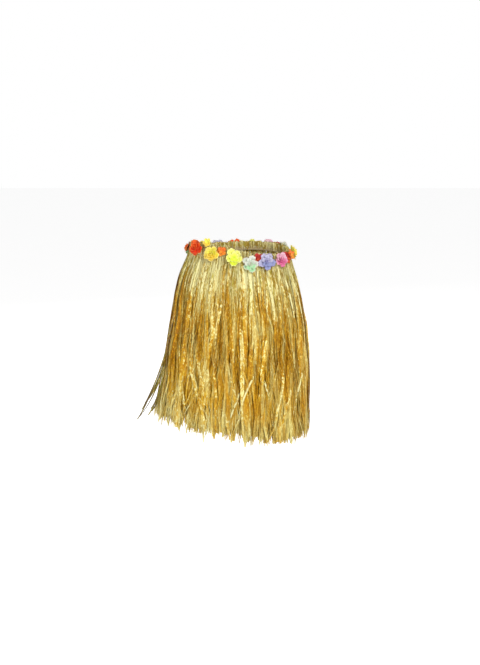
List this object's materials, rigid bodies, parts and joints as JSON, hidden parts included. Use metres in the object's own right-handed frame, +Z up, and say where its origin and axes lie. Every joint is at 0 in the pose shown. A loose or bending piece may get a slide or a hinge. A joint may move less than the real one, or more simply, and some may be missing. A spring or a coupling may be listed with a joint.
{
  "type": "grass skirt",
  "caption": "Knee-length grass skirt of flat straw-gold strands gathered on an elastic waistband, with a garland of cloth flowers round the waist, in its worn, hollow form.",
  "frame": {"origin": "middle of the waist opening, level with the waistband", "axes": "+Z up the wearer's body and out of the waist opening, front towards -Y, the picture's right-hand side towards +X"},
  "size_m": [0.5706, 0.3556, 0.6612],
  "materials": {
    "outer_strands": "glossy crinkled flat straw, pale to gold",
    "inner_strands": "crinkled flat straw, deeper gold",
    "elastic": "ribbed woven elastic",
    "petal_scarlet": "woven polyester petals, scarlet",
    "petal_golden": "woven polyester petals, golden yellow",
    "petal_lime": "woven polyester petals, lime yellow",
    "petal_mint": "woven polyester petals, pale mint",
    "petal_lavender": "woven polyester petals, lavender",
    "petal_pink": "woven polyester petals, rose pink",
    "petal_orange": "woven polyester petals, orange",
    "petal_crimson": "woven polyester petals, crimson"
  },
  "bodies": {
    "root": {"flower_amber_left": "petal_orange", "flower_back_1": "petal_golden", "flower_back_2": "petal_mint", "flower_back_3": "petal_pink", "flower_back_4": "petal_lime", "flower_back_5": "petal_scarlet", "flower_back_6": "petal_lavender", "flower_back_7": "petal_golden", "flower_back_8": "petal_mint", "flower_golden": "petal_golden", "flower_lavender": "petal_lavender", "flower_lime": "petal_lime", "flower_mint": "petal_mint", "flower_orange_right": "petal_orange", "flower_pink": "petal_pink", "flower_scarlet": "petal_scarlet", "hank_inner_01": "inner_strands", "hank_inner_02": "inner_strands", "hank_inner_03": "inner_strands", "hank_inner_04": "inner_strands", "hank_inner_05": "inner_strands", "hank_inner_06": "inner_strands", "hank_inner_07": "inner_strands", "hank_inner_08": "inner_strands", "hank_inner_09": "inner_strands", "hank_inner_10": "inner_strands", "hank_inner_11": "inner_strands", "hank_inner_12": "inner_strands", "hank_inner_13": "inner_strands", "hank_inner_14": "inner_strands", "hank_inner_15": "inner_strands", "hank_outer_01": "outer_strands", "hank_outer_02": "outer_strands", "hank_outer_03": "outer_strands", "hank_outer_04": "outer_strands", "hank_outer_05": "outer_strands", "hank_outer_06": "outer_strands", "hank_outer_07": "outer_strands", "hank_outer_08": "outer_strands", "hank_outer_09": "outer_strands", "hank_outer_10": "outer_strands", "hank_outer_11": "outer_strands", "hank_outer_12": "outer_strands", "hank_outer_13": "outer_strands", "hank_outer_14": "outer_strands", "hank_outer_15": "outer_strands", "hank_outer_16": "outer_strands", "hank_outer_17": "outer_strands", "hank_outer_18": "outer_strands", "stray_long": "outer_strands", "stray_short": "outer_strands", "underflower_amber": "petal_orange", "underflower_back": "petal_orange", "underflower_back_left": "petal_crimson", "underflower_back_right": "petal_crimson", "underflower_crimson": "petal_crimson", "underflower_crimson_right": "petal_crimson", "underflower_left": "petal_crimson", "underflower_yellow": "petal_golden", "waistband": "elastic"}
  },
  "joints": []
}
